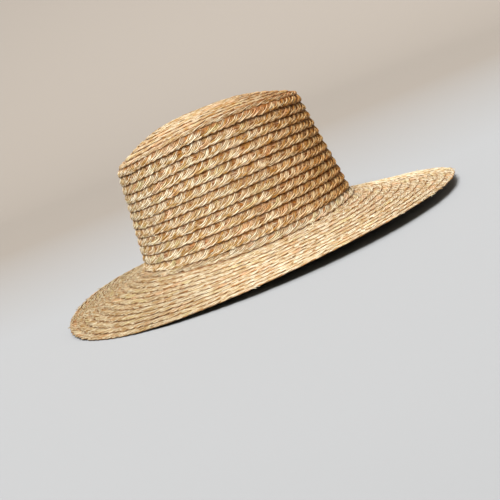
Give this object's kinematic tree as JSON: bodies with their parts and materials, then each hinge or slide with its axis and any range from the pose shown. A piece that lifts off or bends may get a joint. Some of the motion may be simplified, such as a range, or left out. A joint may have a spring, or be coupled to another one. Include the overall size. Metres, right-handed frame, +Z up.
{
  "type": "raffia hat",
  "caption": "Wide-brimmed hat of plaited raffia sewn in laps, with a tapered oval crown, a domed tip and a gently sloping brim, open for a head.",
  "frame": {"origin": "on the ground under the middle of the brim, where the hat rests on the edge of its brim", "axes": "+X to the front of the hat, +Y to the wearer's left side, +Z up through the crown"},
  "size_m": [0.3884, 0.3563, 0.1479],
  "materials": {
    "crown_tip_straw": "plaited natural raffia, satin",
    "crown_side_straw": "plaited natural raffia, satin",
    "brim_straw": "plaited natural raffia, satin"
  },
  "bodies": {
    "root": {"crown_tip": "crown_tip_straw", "crown_side": "crown_side_straw", "brim": "brim_straw"}
  },
  "joints": []
}
